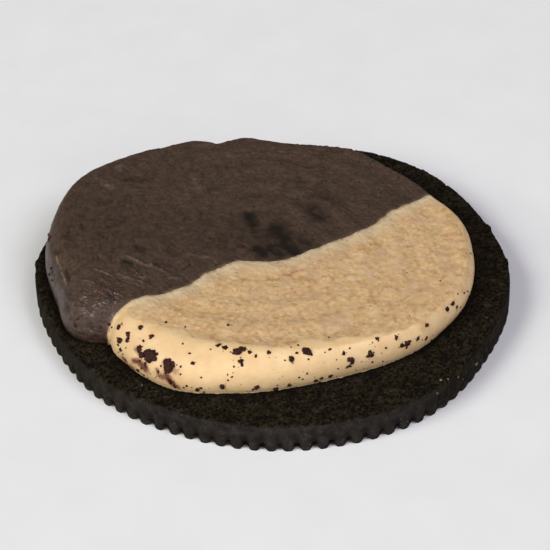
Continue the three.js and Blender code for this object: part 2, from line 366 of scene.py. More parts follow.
def surface_normals(points, faces):
    """The average direction of the faces round each point."""
    corners = points[faces]
    across = np.cross(corners[:, 2] - corners[:, 0], corners[:, -1] - corners[:, 1])
    total = np.zeros_like(points)
    for k in range(faces.shape[1]):
        np.add.at(total, faces[:, k], across)
    return total / np.maximum(np.linalg.norm(total, axis=1, keepdims=True), 1e-12)


def make_mesh(name, points, faces, material, attributes=None, flat_from=None):
    """A new object from points in millimetres from the wafer's middle. Its triangles are
    smooth, or flat from the one numbered flat_from on."""
    mesh = bpy.data.meshes.new(name)
    mesh.from_pydata(((points + WAFER_CENTRE) * MM).tolist(), [], faces.tolist())
    mesh.shade_smooth()
    if flat_from is not None:
        flat = np.arange(len(faces)) >= flat_from
        mesh.attributes.new("sharp_face", "BOOLEAN", "FACE").data.foreach_set("value", flat)
    for label, values in (attributes or {}).items():
        layer = mesh.attributes.new(label, "FLOAT", "POINT")
        layer.data.foreach_set("value", values.astype(np.float32))
    mesh.materials.append(material)
    piece = bpy.data.objects.new(name, mesh)
    bpy.context.scene.collection.objects.link(piece)
    return piece


def tree_of(points, faces):
    return BVHTree.FromPolygons(points.tolist(), faces.tolist())


# The wafer's mesh.

def ring_angles(count):
    return RIDGE_PHASE * DEGREE + TURN * np.arange(count) / count


def wafer_radius(angles, radius=WAFER_RADIUS):
    return radius * (1 + waves(angles, WAFER_WAVES) / WAFER_RADIUS)


def groove_share(angles):
    """0 on the crest of a ridge and about 1 at the bottom of a groove; no two are alike."""
    turned = angles - RIDGE_PHASE * DEGREE
    number = np.floor(RIDGES * turned / TURN).astype(int) % RIDGES
    uneven = np.random.default_rng(7).uniform(0.8, 1.2, RIDGES)[number]
    worn = 1 - hills(angles, WORN_RIDGES)
    return uneven * worn * ((1 - np.cos(RIDGES * turned)) / 2) ** GROOVE_POWER


def bell(distance, half_width):
    return np.exp(-((distance / half_width) ** 2))


def field_height(radius, angles):
    """Height of the pressed underside at one radius: boss, scalloped bead, studs and land."""
    boss = 1 - smoothstep(BOSS_RADIUS, BOSS_RADIUS + FIELD_SLOPE, radius)
    land_inner = WAFER_RADIUS - RIDGE_REACH - LAND_WIDTH
    land = smoothstep(land_inner - FIELD_SLOPE, land_inner, radius)
    bead_middle = BEAD_RADIUS + SCALLOP_DEPTH * np.cos(SCALLOPS * angles)
    bead = bell(radius - bead_middle, 0.32 * BEAD_WIDTH)
    bay = (angles / TURN * SCALLOPS) % 1.0
    outer_aside = (bay - 0.5) * TURN / SCALLOPS * OUTER_STUDS
    inner_aside = ((bay + 0.5) % 1.0 - 0.5) * TURN / SCALLOPS * INNER_STUDS
    outer = bell(np.hypot(radius - OUTER_STUDS, outer_aside), STUD_RADIUS)
    inner = bell(np.hypot(radius - INNER_STUDS, inner_aside), STUD_RADIUS)
    height = FIELD_HEIGHT - (FIELD_HEIGHT - BEAD_HEIGHT) * bead
    height = height - STUD_HEIGHT * (outer + inner)
    return height * (1 - boss) * (1 - land)


def field_rings():
    """Rings of the underside, from the middle out to the ridges."""
    angles = ring_angles(FIELD_STEPS)
    land_outer = WAFER_RADIUS - RIDGE_REACH
    rings = []
    for radius in np.arange(FIELD_RING_STEP, land_outer - 0.1, FIELD_RING_STEP):
        rings.append(polar(angles, wafer_radius(angles, radius), field_height(radius, angles)))
    return rings


def ridge_rings(angles, share):
    """The ridged foot, from the land outwards, and the wall over it with a small hole above
    each groove's lip."""
    inner = wafer_radius(angles, WAFER_RADIUS - RIDGE_REACH)
    outer = wafer_radius(angles) - GROOVE_DEPTH * share
    rings = []
    for reach in np.linspace(0, 1, 6):
        height = GROOVE_HEIGHT * share * reach
        rings.append(polar(angles, lerp(inner, outer, reach), height))
    for rise in np.linspace(0.15, 0.85, 5):
        hole = GROOVE_HOLE * share ** 3 * math.sin(math.pi * rise)
        inset = share * lerp(GROOVE_DEPTH, FLUTE_DEPTH_FOOT, rise) + hole
        height = lerp(GROOVE_HEIGHT * share, WALL_FOOT, rise)
        rings.append(polar(angles, wafer_radius(angles) - inset, height))
    return rings


def wall_rings(angles, share):
    """The fluted wall and its rounded top edge."""
    heights = (WALL_FOOT, WALL_TOP, WAFER_TOP - EDGE_ROUND)
    depths = (FLUTE_DEPTH_FOOT, FLUTE_DEPTH_TOP, 0.0)
    rings = []
    for height in np.linspace(WALL_FOOT, WAFER_TOP - EDGE_ROUND, 12):
        inset = share * np.interp(height, heights, depths)
        rings.append(polar(angles, wafer_radius(angles) - inset, height))
    for tilt in np.linspace(0, math.pi / 2, 6)[1:]:
        radius = wafer_radius(angles) - EDGE_ROUND * (1 - math.cos(tilt))
        rings.append(polar(angles, radius, WAFER_TOP - EDGE_ROUND * (1 - math.sin(tilt))))
    return rings


def top_rings(angles):
    """The flat top, fine where it shows and coarse under the creme."""
    rings = []
    outermost = WAFER_RADIUS - EDGE_ROUND - TOP_RING_STEP
    for radius in np.arange(outermost, FINE_TOP_TO, -TOP_RING_STEP):
        rings.append(polar(angles, wafer_radius(angles, radius), WAFER_TOP))
    for radius, count in HIDDEN_TOP_RINGS:
        few = ring_angles(count)
        rings.append(polar(few, wafer_radius(few, radius), WAFER_TOP))
    return rings


def band(first, second):
    """Triangles between two rings, given as the first index and the count of each."""
    start_a, count_a = first
    start_b, count_b = second
    i = j = 0
    faces = []
    while i < count_a or j < count_b:
        a = start_a + i % count_a
        b = start_b + j % count_b
        if (i + 1) * count_b <= (j + 1) * count_a:
            i += 1
            faces.append((a, start_a + i % count_a, b))
        else:
            j += 1
            faces.append((a, start_b + j % count_b, b))
    return faces


def fan(middle, ring, flip):
    start, count = ring
    faces = []
    for i in range(count):
        a, b = start + i, start + (i + 1) % count
        faces.append((middle, b, a) if flip else (middle, a, b))
    return faces


def wafer_shape():
    """Points and triangles of the smooth wafer, before its relief."""
    angles = ring_angles(EDGE_STEPS)
    share = groove_share(angles)
    rings = field_rings() + ridge_rings(angles, share) + wall_rings(angles, share) + top_rings(angles)
    starts = np.cumsum([0] + [len(ring) for ring in rings])
    spans = [(int(start), len(ring)) for start, ring in zip(starts, rings)]
    middles = np.array(((0, 0, 0), (0, 0, WAFER_TOP)), float)
    faces = fan(int(starts[-1]), spans[0], flip=True)
    for first, second in zip(spans, spans[1:]):
        faces += band(first, second)
    faces += fan(int(starts[-1]) + 1, spans[-1], flip=False)
    return np.concatenate(rings + [middles]), np.array(faces)


def from_rim(points):
    """Each point's angle round the wafer, and how far in from the wafer's outline it lies."""
    angles = np.arctan2(points[:, 1], points[:, 0])
    return angles, wafer_radius(angles) - np.hypot(points[:, 0], points[:, 1])


def wafer_masks(points):
    """Where the wafer has its top, its rim, its grooves, its worn ridges, and the ring round the creme's
    foot that takes painted shade.
    """
    angles, inset = from_rim(points)
    from_creme = points[:, :2] - CREME_CENTRE
    creme_angles = np.arctan2(from_creme[:, 1], from_creme[:, 0])
    outside = np.hypot(from_creme[:, 0], from_creme[:, 1]) - creme_radius(creme_angles)
    height = points[:, 2]
    ridged = (1 - smoothstep(WALL_FOOT, WALL_TOP, height)) * (inset < RIDGE_REACH)
    return {
        "top": smoothstep(WAFER_TOP - 0.35, WAFER_TOP - 0.05, height),
        "rim": smoothstep(WAFER_TOP - 0.6, WAFER_TOP - 0.1, height) * bell(inset, RIM_WIDTH),
        "creme_shade": bell(np.maximum(outside, 0), CREME_SHADE_WIDTH),
        "groove": groove_share(angles) * ridged,
        "worn": np.minimum(2 * hills(angles, WORN_RIDGES), 1) * smoothstep(0, WALL_FOOT, height),
    }


def wafer_relief(points, masks):
    """How far the baked crumb stands out of the smooth wafer."""
    crumb = 0.13 * (grains(points, 0.34, 3) - 0.6) + 0.05 * roughness(points, 0.9, 5)
    pits = 0.15 * smoothstep(0.42, 0.8, waviness(points, 0.55, 11))
    upright = points * (1, 1, 0.12)
    wall = 0.035 * roughness(upright, 0.42, 21) + 0.025 * (grains(points, 0.3, 23) - 0.6)
    chips = 0.3 * smoothstep(0.35, 0.75, waviness(points, 0.9, 31))
    angles, inset = from_rim(points)
    pressed = 0.03 * roughness(points, 1.6, 25, 2)
    wall = lerp(wall, pressed, smoothstep(RIDGE_REACH, RIDGE_REACH + 0.3, inset))
    bumps = [(place, BUMP_HALF_WIDTH, BUMP_RISE * size) for place, size in RIM_BUMPS]
    rim = hills(angles, bumps) - chips
    return lerp(wall, crumb - pits, masks["top"]) + rim * masks["rim"]


# The creme's mesh. Both halves are columns of points from the border out to the edge.

def creme_radius(angles):
    return CREME_RADIUS + waves(angles, CREME_WAVES) + hills(angles, CREME_LOBES)


def edge_points(degrees):
    angles = np.asarray(degrees, float) * DEGREE
    radius = creme_radius(angles)
    return CREME_CENTRE + np.column_stack((radius * np.cos(angles), radius * np.sin(angles)))


BORDER_ENDS = edge_points((BORDER_START, BORDER_END))
BORDER_LENGTH = float(np.linalg.norm(BORDER_ENDS[1] - BORDER_ENDS[0]))
BORDER_ALONG = (BORDER_ENDS[1] - BORDER_ENDS[0]) / BORDER_LENGTH
BORDER_ASIDE = np.array((-BORDER_ALONG[1], BORDER_ALONG[0]))


def border_points(shares):
    """The wavy border between the two cremes, at shares of the way from its start to its end."""
    straight = lerp(BORDER_ENDS[0], BORDER_ENDS[1], shares[:, None])
    sideways = sum(size * np.sin((i + 1) * math.pi * shares) for i, size in enumerate(BORDER_WAVES))
    places = np.column_stack((shares * BORDER_LENGTH, np.zeros_like(shares), np.zeros_like(shares)))
    ends = smoothstep(0, 0.06, shares) * smoothstep(0, 0.04, 1 - shares)
    sideways = sideways + BORDER_RAGGED * ends * roughness(places, 1.3, 41)
    for place, half_width, size in BORDER_TONGUES:
        sideways = sideways + size * bell(shares - place, half_width)
    return straight + sideways[:, None] * BORDER_ASIDE


def plan_of_half(end_degrees, top_rows):
    """Plan positions of one half's columns, as an array of column by row by x and y."""
    shares = np.linspace(0, 1, CREME_COLUMNS + 1)[1:-1]
    degrees = lerp(BORDER_START, end_degrees, shares)
    inner = border_points(shares)
    outer = edge_points(degrees)
    length = np.linalg.norm(outer - inner, axis=1)
    width = SHOULDER_WIDTH + hills(degrees * DEGREE, SHOULDER_LOBES)
    side = np.minimum(SHOULDER_MOST, width / length)[:, None]
    on_top = (1 - side) * np.linspace(0, 1, top_rows + 1)
    on_side = 1 - side * (1 - np.sin(np.linspace(0, math.pi / 2, SIDE_ROWS + 1)[1:]))
    outward = np.concatenate((on_top, on_side), axis=1)
    return lerp(inner[:, None, :], outer[:, None, :], outward[:, :, None])


def crease(x, y):
    """The valley where the two rounded lobes meet at the border's start."""
    offset = np.column_stack((x, y)) - BORDER_ENDS[0]
    along = offset @ BORDER_ALONG
    nearest = border_points(np.clip(along / BORDER_LENGTH, 0, 1))
    aside = np.hypot(x - nearest[:, 0], y - nearest[:, 1])
    return CREASE_DEPTH * bell(along, CREASE_LENGTH) * bell(aside, CREASE_WIDTH)


def smooth_creme(x, y):
    """Points of the creme's surface without its fine relief, and where its top is torn."""
    dx, dy = x - CREME_CENTRE[0], y - CREME_CENTRE[1]
    radius = np.hypot(dx, dy)
    angles = np.arctan2(dy, dx)
    inset = np.maximum(0, creme_radius(angles) - radius)
    width = SHOULDER_WIDTH + hills(angles, SHOULDER_LOBES)
    inward = np.minimum(1, inset / width)
    rise = (1 - (1 - inward) ** SHOULDER_POWER) ** (1 / SHOULDER_POWER)
    furrow = np.sin(TURN * radius / FURROW_SPACING + FURROW_DRIFT * np.sin(3 * angles))
    full = CREME_THICKNESS + CREME_TILT * x + FURROW_DEPTH * furrow - crease(x, y)
    tuck = FOOT_TUCK * np.maximum(0, 1 - full * rise / TUCK_HEIGHT) ** 2
    outward = (CREME_BULGE * np.sin(math.pi * rise) - tuck) / np.maximum(radius, 1)
    points = np.column_stack((x + dx * outward, y + dy * outward, WAFER_TOP + full * rise))
    ragged = TORN_RAGGED * roughness(points, 1.5, 51, 4)
    torn_from = TORN_INSET + hills(angles, TORN_LOBES)
    past = inset - torn_from + ragged * np.minimum(1, torn_from)
    return points, smoothstep(-TORN_BLUR, TORN_BLUR, past)


def twisted(points, across, along):
    """Coordinates that stretch relief along circles round the creme's middle."""
    dx, dy = points[:, 0] - CREME_CENTRE[0], points[:, 1] - CREME_CENTRE[1]
    radius = np.hypot(dx, dy)
    turned = np.maximum(radius, 3.0)
    unit = np.column_stack((dx, dy)) / np.maximum(radius, 1e-6)[:, None]
    return np.column_stack((radius / across, unit * (turned / along)[:, None]))


def gouged(points):
    """Rise of the gouges and welts over the creme's top."""
    total = np.zeros(len(points))
    uneven = 0.8 + 0.7 * roughness(points, 0.8, 58, 2)
    for x1, y1, x2, y2, half_width, rise in SEEN_GOUGES:
        start, end = on_creme_top((x1, y1)), on_creme_top((x2, y2))
        length = np.linalg.norm(end - start)
        unit = (end - start) / length
        offset = points[:, :2] - (start + end) / 2
        along = offset @ unit
        aside = offset[:, 0] * unit[1] - offset[:, 1] * unit[0] + 0.08 * np.sin(2.2 * along)
        total += rise * np.exp(-((2 * along / length) ** 4)) * bell(aside, half_width)
    return total * uneven


def shared_relief(points):
    """Relief that both cremes have, so that they meet evenly along the border."""
    return 0.035 * roughness(points, 1.0, 61) + 0.015 * waviness(twisted(points, 0.45, 2.4), 1.0, 64)


def wrinkled(points):
    """A mask of the cocoa creme's crumpled lobe."""
    return bell(np.hypot(points[:, 0] - WRINKLED_AT[0], points[:, 1] - WRINKLED_AT[1]), WRINKLED_WIDTH)


def cocoa_relief(points, torn):
    patches = smoothstep(-0.2, 0.5, waviness(points, 4.0, 75))
    streaks = 0.05 * waviness(twisted(points, 0.3, 1.6), 1.0, 71) * patches
    lumps = 0.05 * roughness(points, 1.1, 72) + 0.035 * roughness(points, 0.4, 74, 2)
    tears = 0.09 * smoothstep(0.45, 0.85, waviness(twisted(points, 0.5, 1.2), 1.0, 73))
    side = 0.04 * roughness(points, 1.1, 77) + 0.02 * waviness(points, 0.3, 79)
    wrinkles = 0.13 * roughness(points, 1.0, 76) - 0.17 * np.abs(roughness(points, 0.5, 78, 2))
    return lerp(side, streaks + lumps - tears + gouged(points), torn) + wrinkles * wrinkled(points)


def nut_relief(points, torn):
    lumps = 0.05 * roughness(points, 0.9, 81) + 0.012 * waviness(twisted(points, 0.35, 1.2), 1.0, 84)
    tears = 0.05 * smoothstep(0.4, 0.8, waviness(points, 0.7, 85))
    side = 0.02 * roughness(points, 1.4, 87) + 0.006 * waviness(points, 0.3, 89)
    return lerp(side, lumps - tears - 0.05, torn)


@dataclass
class Half:
    """One half of the creme. Its first points are the sheet that shows, column by column."""

    points: np.ndarray
    faces: np.ndarray
    hidden_from: int
    torn: np.ndarray
    from_border: np.ndarray

    def padded(self, values):
        """Values of the sheet's points, with zeros for the hidden ones."""
        return np.concatenate((values, np.zeros(len(self.points) - len(values))))


def split_quads(quads):
    return np.concatenate((quads[:, (0, 1, 2)], quads[:, (0, 2, 3)]))


def creme_half(end_degrees, top_rows, own_relief):
    """The half whose edge runs from the border's start to end_degrees."""
    plan = plan_of_half(end_degrees, top_rows)
    columns, rows = plan.shape[:2]
    flat = plan.reshape(-1, 2)
    points, torn = smooth_creme(flat[:, 0], flat[:, 1])
    from_border = np.linalg.norm(plan - plan[:, :1], axis=2).ravel()
    index = np.arange(columns * rows).reshape(columns, rows)
    corners = (index[:-1, :-1], index[:-1, 1:], index[1:, 1:], index[1:, :-1])
    sheet = split_quads(np.stack([corner.ravel() for corner in corners], axis=1))
    turn = 1 if end_degrees > BORDER_START else -1
    normals = turn * surface_normals(points, sheet)
    upward = lerp(normals, np.array((0.0, 0.0, 1.0)), torn[:, None])
    own = own_relief(points, torn) * smoothstep(0, BORDER_FADE, from_border)
    foot_fade = smoothstep(0.0, FOOT_FADE, points[:, 2] - WAFER_TOP)
    relief = (shared_relief(points) * torn + own) * foot_fade
    points = points + upward * relief[:, None]
    points[index[:, -1], 2] = WAFER_TOP - CREME_SINK
    points, hidden, ends = close_half(points, index)
    faces = np.concatenate((sheet, ends, hidden))[:, ::turn]
    return Half(points, faces, len(sheet) + len(ends), torn, from_border)


def close_half(points, index):
    """The sheet's points with those of the border's foot and of both pointed ends, the
    hidden triangles of the border wall and the underside, and the triangles of the ends."""
    feet = points[index[:, 0]] * (1, 1, 0) + (0, 0, WAFER_TOP - CREME_SINK)
    tips = np.column_stack((BORDER_ENDS, np.full(2, WAFER_TOP - CREME_SINK)))
    foot = len(points) + np.arange(len(feet))
    tip = len(points) + len(feet) + np.arange(2)
    wall = np.stack((foot[:-1], foot[1:], index[1:, 0], index[:-1, 0]), axis=1)
    under = np.stack((index[:-1, -1], index[1:, -1], foot[1:], foot[:-1]), axis=1)
    hidden = [split_quads(wall), split_quads(under)]
    ends = []
    for corner, column, turn in ((tip[0], 0, 1), (tip[1], len(index) - 1, -1)):
        line = index[column]
        corners = np.full(len(line) - 1, corner)
        ends.append(np.stack((corners, line[:-1], line[1:]), axis=1)[:, ::turn])
        closing = ((corner, foot[column], line[0]), (corner, line[-1], foot[column]))
        hidden.append(np.array(closing)[:, ::turn])
    return np.concatenate((points, feet, tips)), np.concatenate(hidden), np.concatenate(ends)


# The camera.

def camera_axes():
    """The camera's right, up and back directions."""
    back = (CAMERA_AT - CAMERA_TARGET).normalized()
    level = Vector((0, 0, 1)).cross(back).normalized()
    right = Matrix.Rotation(CAMERA_ROLL * DEGREE, 3, back) @ level
    return right, back.cross(right), back


def line_of_sight(pixel):
    """The direction in which a pixel of the picture looks."""
    right, up, back = camera_axes()
    x = (pixel[0] - PICTURE / 2) / FOCAL_PIXELS
    y = (PICTURE / 2 - pixel[1]) / FOCAL_PIXELS
    return (x * right + y * up - back).normalized()


def look_through(pixel, tree):
    """The point of the surface that a pixel of the picture shows."""
    place, _, _, _ = tree.ray_cast(CAMERA_AT, line_of_sight(pixel))
    return place


def on_creme_top(pixel):
    """The x and y at which a pixel's line of sight meets the level of the creme's top."""
    sight = line_of_sight(pixel)
    drop = WAFER_TOP + CREME_THICKNESS + CREME_TILT * CAMERA_AT.x - CAMERA_AT.z
    place = CAMERA_AT + drop / (sight.z - CREME_TILT * sight.x) * sight
    return np.array(place)[:2]


def add_camera():
    data = bpy.data.cameras.new("Camera")
    data.sensor_width = SENSOR
    data.lens = FOCAL_PIXELS / PICTURE * SENSOR
    data.clip_start = 10 * MM
    data.clip_end = 10.0
    camera = bpy.data.objects.new("Camera", data)
    bpy.context.scene.collection.objects.link(camera)
    axes = Matrix(camera_axes()).transposed().to_4x4()
    place = (CAMERA_AT + Vector(WAFER_CENTRE)) * MM
    camera.matrix_world = Matrix.Translation(place) @ axes
    bpy.context.scene.camera = camera


# Crumbs.

def ball(subdivisions):
    """Unit ball as an array of points and an array of triangles."""
    shape = bmesh.new()
    bmesh.ops.create_icosphere(shape, subdivisions=subdivisions, radius=1.0)
    points = np.array([v.co for v in shape.verts])
    faces = np.array([[v.index for v in face.verts] for face in shape.faces])
    shape.free()
    return points, faces


BALLS = ((0.6, ball(4)), (0.4, ball(3)), (0.16, ball(2)), (0.0, ball(1)))  # from this size up

# The crumbs of a heap: size and distance from its middle, as shares of its size.
HEAP = ((0.95, 0.1), (0.7, 0.35), (0.6, 0.4), (0.5, 0.5), (0.3, 0.75), (0.24, 0.9))
LARGEST_SINGLE = 0.3

CRUMB_BREAKS = 14

# The bare ring of the wafer's top, and the height over it that only the creme reaches.
BARE_FROM = 17.0
BARE_TO = 22.3
ON_CREME = 0.3

# Where rays towards the part start: this far from its middle, or at this height.
RAYS_FROM = 30.0
RAYS_ABOVE = 9.0

# The front crumbs are strewn a little past the border, in degrees.
PAST_BORDER = 6


@dataclass
class Strewing:
    """Fine crumbs strewn by a fixed rule. A higher power makes large values rarer."""

    count: int
    smallest: float
    spread: float
    size_power: float
    climb: float = 0.0
    climb_power: float = 1.0

    def size(self, rng):
        return self.smallest + self.spread * rng.random() ** self.size_power

    def height(self, rng):
        return WAFER_TOP + 0.1 + self.climb * rng.random() ** self.climb_power


NUT_SIDE_CRUMBS = Strewing(190, 0.07, 0.15, 2, climb=3.2, climb_power=1.6)
COCOA_SIDE_CRUMBS = Strewing(110, 0.1, 0.4, 3, climb=3.0)
WAFER_CRUMBS = Strewing(520, 0.1, 0.4, 2.5)


def upright_axes(normal, rng):
    """Three directions, the last along the normal and the first turned at random."""
    normal = np.array(normal)
    start = rng.normal(size=3)
    first = start - normal * (start @ normal)
    first /= np.linalg.norm(first)
    return np.stack((first, np.cross(normal, first), normal))


def crumb(place, normal, size, rng):
    """One broken crumb that lies on a surface: its points and triangles."""
    unit, faces = next(shape for smallest, shape in BALLS if size >= smallest)
    breaks = rng.normal(size=(CRUMB_BREAKS, 3))
    breaks /= np.linalg.norm(breaks, axis=1, keepdims=True)
    depths = rng.uniform(0.65, 1.0, CRUMB_BREAKS)
    broken = np.min(depths / np.maximum(unit @ breaks.T, 0.05), axis=1)
    seed = int(rng.integers(10 ** 6))
    lumps = 1 + 0.35 * roughness(unit, 0.9, seed, 4)
    stretch = rng.uniform((0.9, 0.75, 0.45), (1.35, 1.1, 0.75))
    body = unit * (np.minimum(broken, 1.1) * lumps * size / 2)[:, None] * stretch
    points = body @ upright_axes(normal, rng) + np.array(place)
    return points + np.array(normal) * (0.08 * size), faces


def join(parts):
    """One array of points and one of faces from several."""
    starts = np.cumsum([0] + [len(points) for points, _ in parts])
    faces = [part_faces + start for (_, part_faces), start in zip(parts, starts)]
    return np.concatenate([points for points, _ in parts]), np.concatenate(faces)


def marked(points, seen, tree):
    """How strongly each point is marked, from 0 to 1, by the marks seen."""
    total = np.zeros(len(points))
    for x1, y1, x2, y2, half_width, strength in seen:
        start = np.array(look_through((x1, y1), tree))
        length = np.array(look_through((x2, y2), tree)) - start
        share = np.clip((points - start) @ length / (length @ length), 0, 1)
        away = np.linalg.norm(points - start - share[:, None] * length, axis=1)
        total = np.maximum(total, strength * bell(away, half_width))
    return total


def clustered(tree, place, size, rng):
    """A crumb. A larger one is a heap of a few, with small bits round it."""
    parts = []
    for share, away in HEAP if size > LARGEST_SINGLE else ((1.0, 0.0),):
        aside = rng.normal(size=3)
        beside = Vector(aside / np.linalg.norm(aside) * away * size)
        near, normal, _, _ = tree.find_nearest(place + beside)
        parts.append(crumb(near, normal, share * size, rng))
    return parts


def crumbs_on_creme(tree):
    """Cocoa crumbs on the creme: those seen, and finer ones strewn over its sides."""
    rng = np.random.default_rng(101)
    parts = []
    for x, y, size in SEEN_CRUMBS:
        parts += clustered(tree, look_through((x, y), tree), size, rng)
    parts += strewn_on_side(tree, NUT_SIDE_CRUMBS, BORDER_START, BORDER_END + PAST_BORDER, rng)
    parts += strewn_on_side(tree, COCOA_SIDE_CRUMBS, BORDER_END, BORDER_START + 360, rng)
    return join(parts)


def strewn_on_side(tree, strewing, first, last, rng):
    """Fine crumbs on the creme's side from one place to another, reached level from outside."""
    parts = []
    for _ in range(strewing.count):
        angle = rng.uniform(first, last) * DEGREE
        height = strewing.height(rng)
        size = strewing.size(rng)
        outward = Vector((math.cos(angle), math.sin(angle), 0))
        start = Vector((*CREME_CENTRE, height)) + RAYS_FROM * outward
        place, normal, _, _ = tree.ray_cast(start, -outward)
        if place is not None:
            parts.append(crumb(place, normal, size, rng))
    return parts


def crumbs_on_wafer(tree):
    """Loose crumbs on the wafer's bare top."""
    rng = np.random.default_rng(111)
    parts = []
    while len(parts) < WAFER_CRUMBS.count:
        angle = np.array((rng.uniform(0, TURN),))
        radius = wafer_radius(angle, math.sqrt(rng.uniform(BARE_FROM ** 2, BARE_TO ** 2)))
        above = Vector(polar(angle, radius, RAYS_ABOVE)[0])
        place, normal, _, _ = tree.ray_cast(above, Vector((0, 0, -1)))
        if place.z < WAFER_TOP + ON_CREME:
            parts.append(crumb(place, normal, WAFER_CRUMBS.size(rng), rng))
    return join(parts)


def pale_specks(tree):
    """The pale specks seen on the cocoa creme and the wafer."""
    rng = np.random.default_rng(117)
    parts = []
    for x, y, size in SEEN_SPECKS:
        place = look_through((x, y), tree)
        _, normal, _, _ = tree.find_nearest(place)
        parts.append(crumb(place, normal, size, rng))
    return join(parts)


# Materials.

class Finish:
    """A material's node tree, built up by plain calls. Sizes are in millimetres."""

    def __init__(self, name, **settings):
        self.material = bpy.data.materials.new(name)
        self.material.use_nodes = True
        self.nodes = self.material.node_tree.nodes
        self.links = self.material.node_tree.links
        self.surface = self.nodes["Principled BSDF"]
        for socket, value in settings.items():
            self.surface.inputs[socket.replace("_", " ")].default_value = value
        self.place = self.nodes.new("ShaderNodeTexCoord").outputs["Object"]

    def texture(self, kind, size, **settings):
        node = self.nodes.new(kind)
        self.links.new(self.place, node.inputs["Vector"])
        node.inputs["Scale"].default_value = 1 / (size * MM)
        for socket, value in settings.items():
            node.inputs[socket].default_value = value
        return node

    def noise(self, size, detail=3.0, rough=0.55):
        node = self.texture("ShaderNodeTexNoise", size, Detail=detail, Roughness=rough)
        return node.outputs["Fac"]

    def patches(self, size, low, high, detail=4.0):
        """Ragged patches of noise, from 0 to 1."""
        return self.ramp(self.noise(size, detail), low, high)

    def cells(self, size):
        return self.texture("ShaderNodeTexVoronoi", size).outputs["Distance"]

    def attribute(self, label):
        node = self.nodes.new("ShaderNodeAttribute")
        node.attribute_name = label
        return node.outputs["Fac"]

    def ramp(self, factor, low, high, first=0.0, last=1.0):
        node = self.nodes.new("ShaderNodeMapRange")
        self.links.new(factor, node.inputs["Value"])
        limits = {"From Min": low, "From Max": high, "To Min": first, "To Max": last}
        for socket, value in limits.items():
            node.inputs[socket].default_value = value
        return node.outputs["Result"]

    def combine(self, how, first, second):
        node = self.nodes.new("ShaderNodeMath")
        node.operation = how
        for socket, value in zip(node.inputs, (first, second)):
            if isinstance(value, float):
                socket.default_value = value
            else:
                self.links.new(value, socket)
        return node.outputs["Value"]

    def product(self, first, second):
        return self.combine("MULTIPLY", first, second)

    def specks(self, size, reach, thinning):
        """Small round specks in patches: reach is their radius as a share of their spacing."""
        dots = self.ramp(self.cells(size), reach, 0.5 * reach)
        return self.product(dots, self.patches(3.3 * size, thinning, thinning + 0.08, detail=1.0))

    def patchy(self, label, size, low=0.75, high=1.15):
        """An attribute broken up into ragged patches."""
        return self.ramp(self.combine("ADD", self.attribute(label), self.noise(size)), low, high)

    def mix(self, factor, first, second):
        """Two colours, each a socket or an sRGB triple of 0 to 255, mixed by a factor."""
        node = self.nodes.new("ShaderNodeMix")
        node.data_type = "RGBA"
        self.links.new(factor, node.inputs["Factor"])
        for socket, colour in ((node.inputs[6], first), (node.inputs[7], second)):
            if isinstance(colour, tuple):
                socket.default_value = (*linear(colour), 1)
            else:
                self.links.new(colour, socket)
        return node.outputs[2]

    def over(self, base, factor, strength, colour):
        """A colour laid over a base, with this strength where the factor is 1."""
        return self.mix(self.product(factor, strength), base, colour)

    def bump(self, height, depth, socket="Normal"):
        node = self.nodes.new("ShaderNodeBump")
        node.inputs["Distance"].default_value = depth * MM
        self.links.new(height, node.inputs["Height"])
        self.links.new(node.outputs["Normal"], self.surface.inputs[socket])

    def set(self, socket, output):
        self.links.new(output, self.surface.inputs[socket])


def linear(colour):
    """Scene-linear values of an sRGB triple of 0 to 255."""
    shares = np.array(colour) / 255
    return np.where(shares <= 0.04045, shares / 12.92, ((shares + 0.055) / 1.055) ** 2.4)


def wafer_top_colour(finish, grain):
    """Near black, with brown and grey grains, and darkest round the creme's foot, where shade is
    painted.
    """
    top = finish.mix(grain, (4, 3, 1), (42, 35, 21))
    top = finish.over(top, finish.patches(1.3, 0.45, 0.62), 0.7, (9, 7, 4))
    top = finish.over(top, finish.patches(0.8, 0.55, 0.7), 0.6, (58, 50, 43))
    top = finish.over(top, finish.specks(0.34, 0.3, 0.55), 0.35, (84, 72, 58))
    # Painted shade on the wafer round the creme's foot.
    return finish.over(top, finish.attribute("creme_shade"), 0.75, (9, 6, 4))


def wafer_finish():
    """Matt baked crumb. The wall is painted paler grey than the top for the light and sheen it catches,
    with painted shade in its grooves, and looks like the top where its ridges are worn.
    """
    finish = Finish("cocoa_wafer", Specular_IOR_Level=0.06, Roughness=0.9)
    grain = finish.patches(0.3, 0.38, 0.62, detail=2.0)
    top = wafer_top_colour(finish, grain)
    # Painted light: the wall is the top's crumb, painted paler grey for the light and sheen that it
    # catches.
    wall = finish.mix(finish.patches(0.7, 0.35, 0.68, detail=3.0), (36, 32, 29), (60, 55, 52))
    wall = finish.over(wall, grain, 0.5, (30, 26, 21))
    # Painted shade in the grooves and between the flutes of the wall.
    wall = finish.over(wall, finish.attribute("groove"), 0.8, (20, 17, 14))
    wall = finish.over(wall, finish.attribute("worn"), 0.9, top)
    colour = finish.mix(finish.patchy("top", 0.9, 0.45, 1.3), wall, top)
    flecks = finish.specks(0.5, 0.2, 0.6)
    finish.set("Base Color", finish.over(colour, flecks, 0.4, (112, 102, 92)))
    finish.bump(finish.noise(0.16, 4.0, 0.65), 0.06)
    return finish.material


